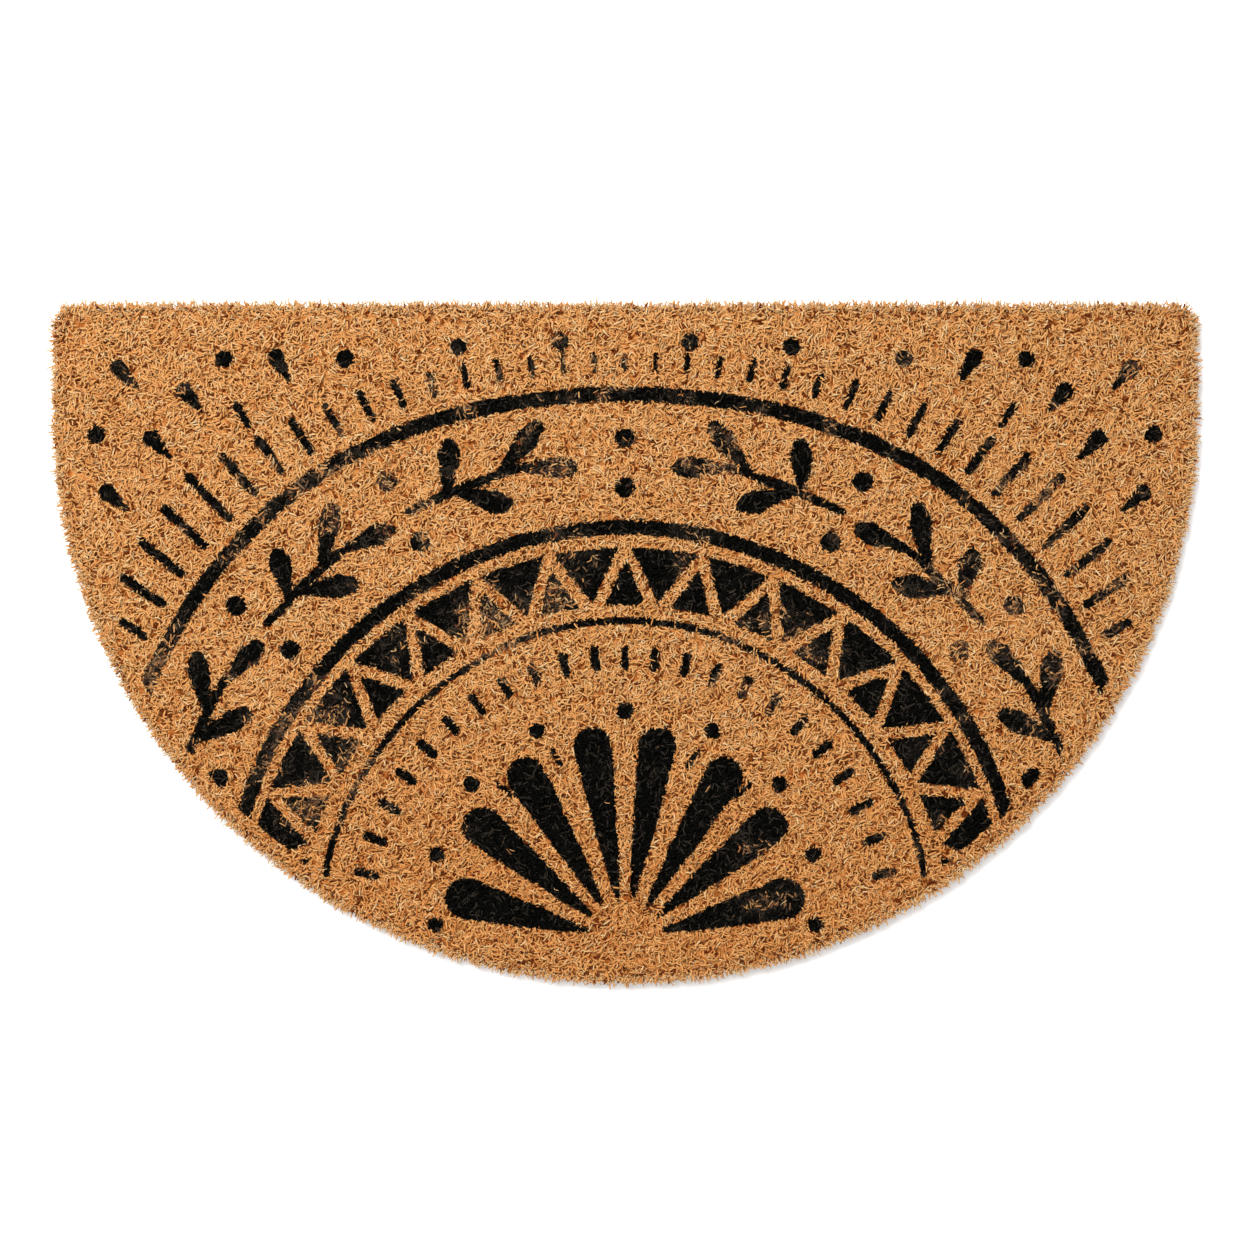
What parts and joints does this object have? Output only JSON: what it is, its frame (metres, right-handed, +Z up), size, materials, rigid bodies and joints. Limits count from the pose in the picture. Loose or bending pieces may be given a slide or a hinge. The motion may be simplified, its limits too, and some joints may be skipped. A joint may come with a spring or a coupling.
{
  "type": "door mat",
  "caption": "Half-round coir door mat with a bristly pile, a worn black ornament of rings, petals and leaves, and a flexible vinyl backing.",
  "frame": {"origin": "middle of the mat's outline, on its underside", "axes": "+X along the straight sill edge, +Y towards the sill edge, +Z up out of the pile"},
  "size_m": [0.75, 0.445, 0.015],
  "materials": {
    "black_vinyl": "matt, with a fine moulded grain",
    "natural_coir": "undyed coir bristle, cut level, with loose fibres",
    "dyed_coir": "coir bristle dyed black at the tips, worn in patches"
  },
  "bodies": {
    "root": {"vinyl_backing": "black_vinyl", "coir_pile": "natural_coir"}
  },
  "joints": []
}
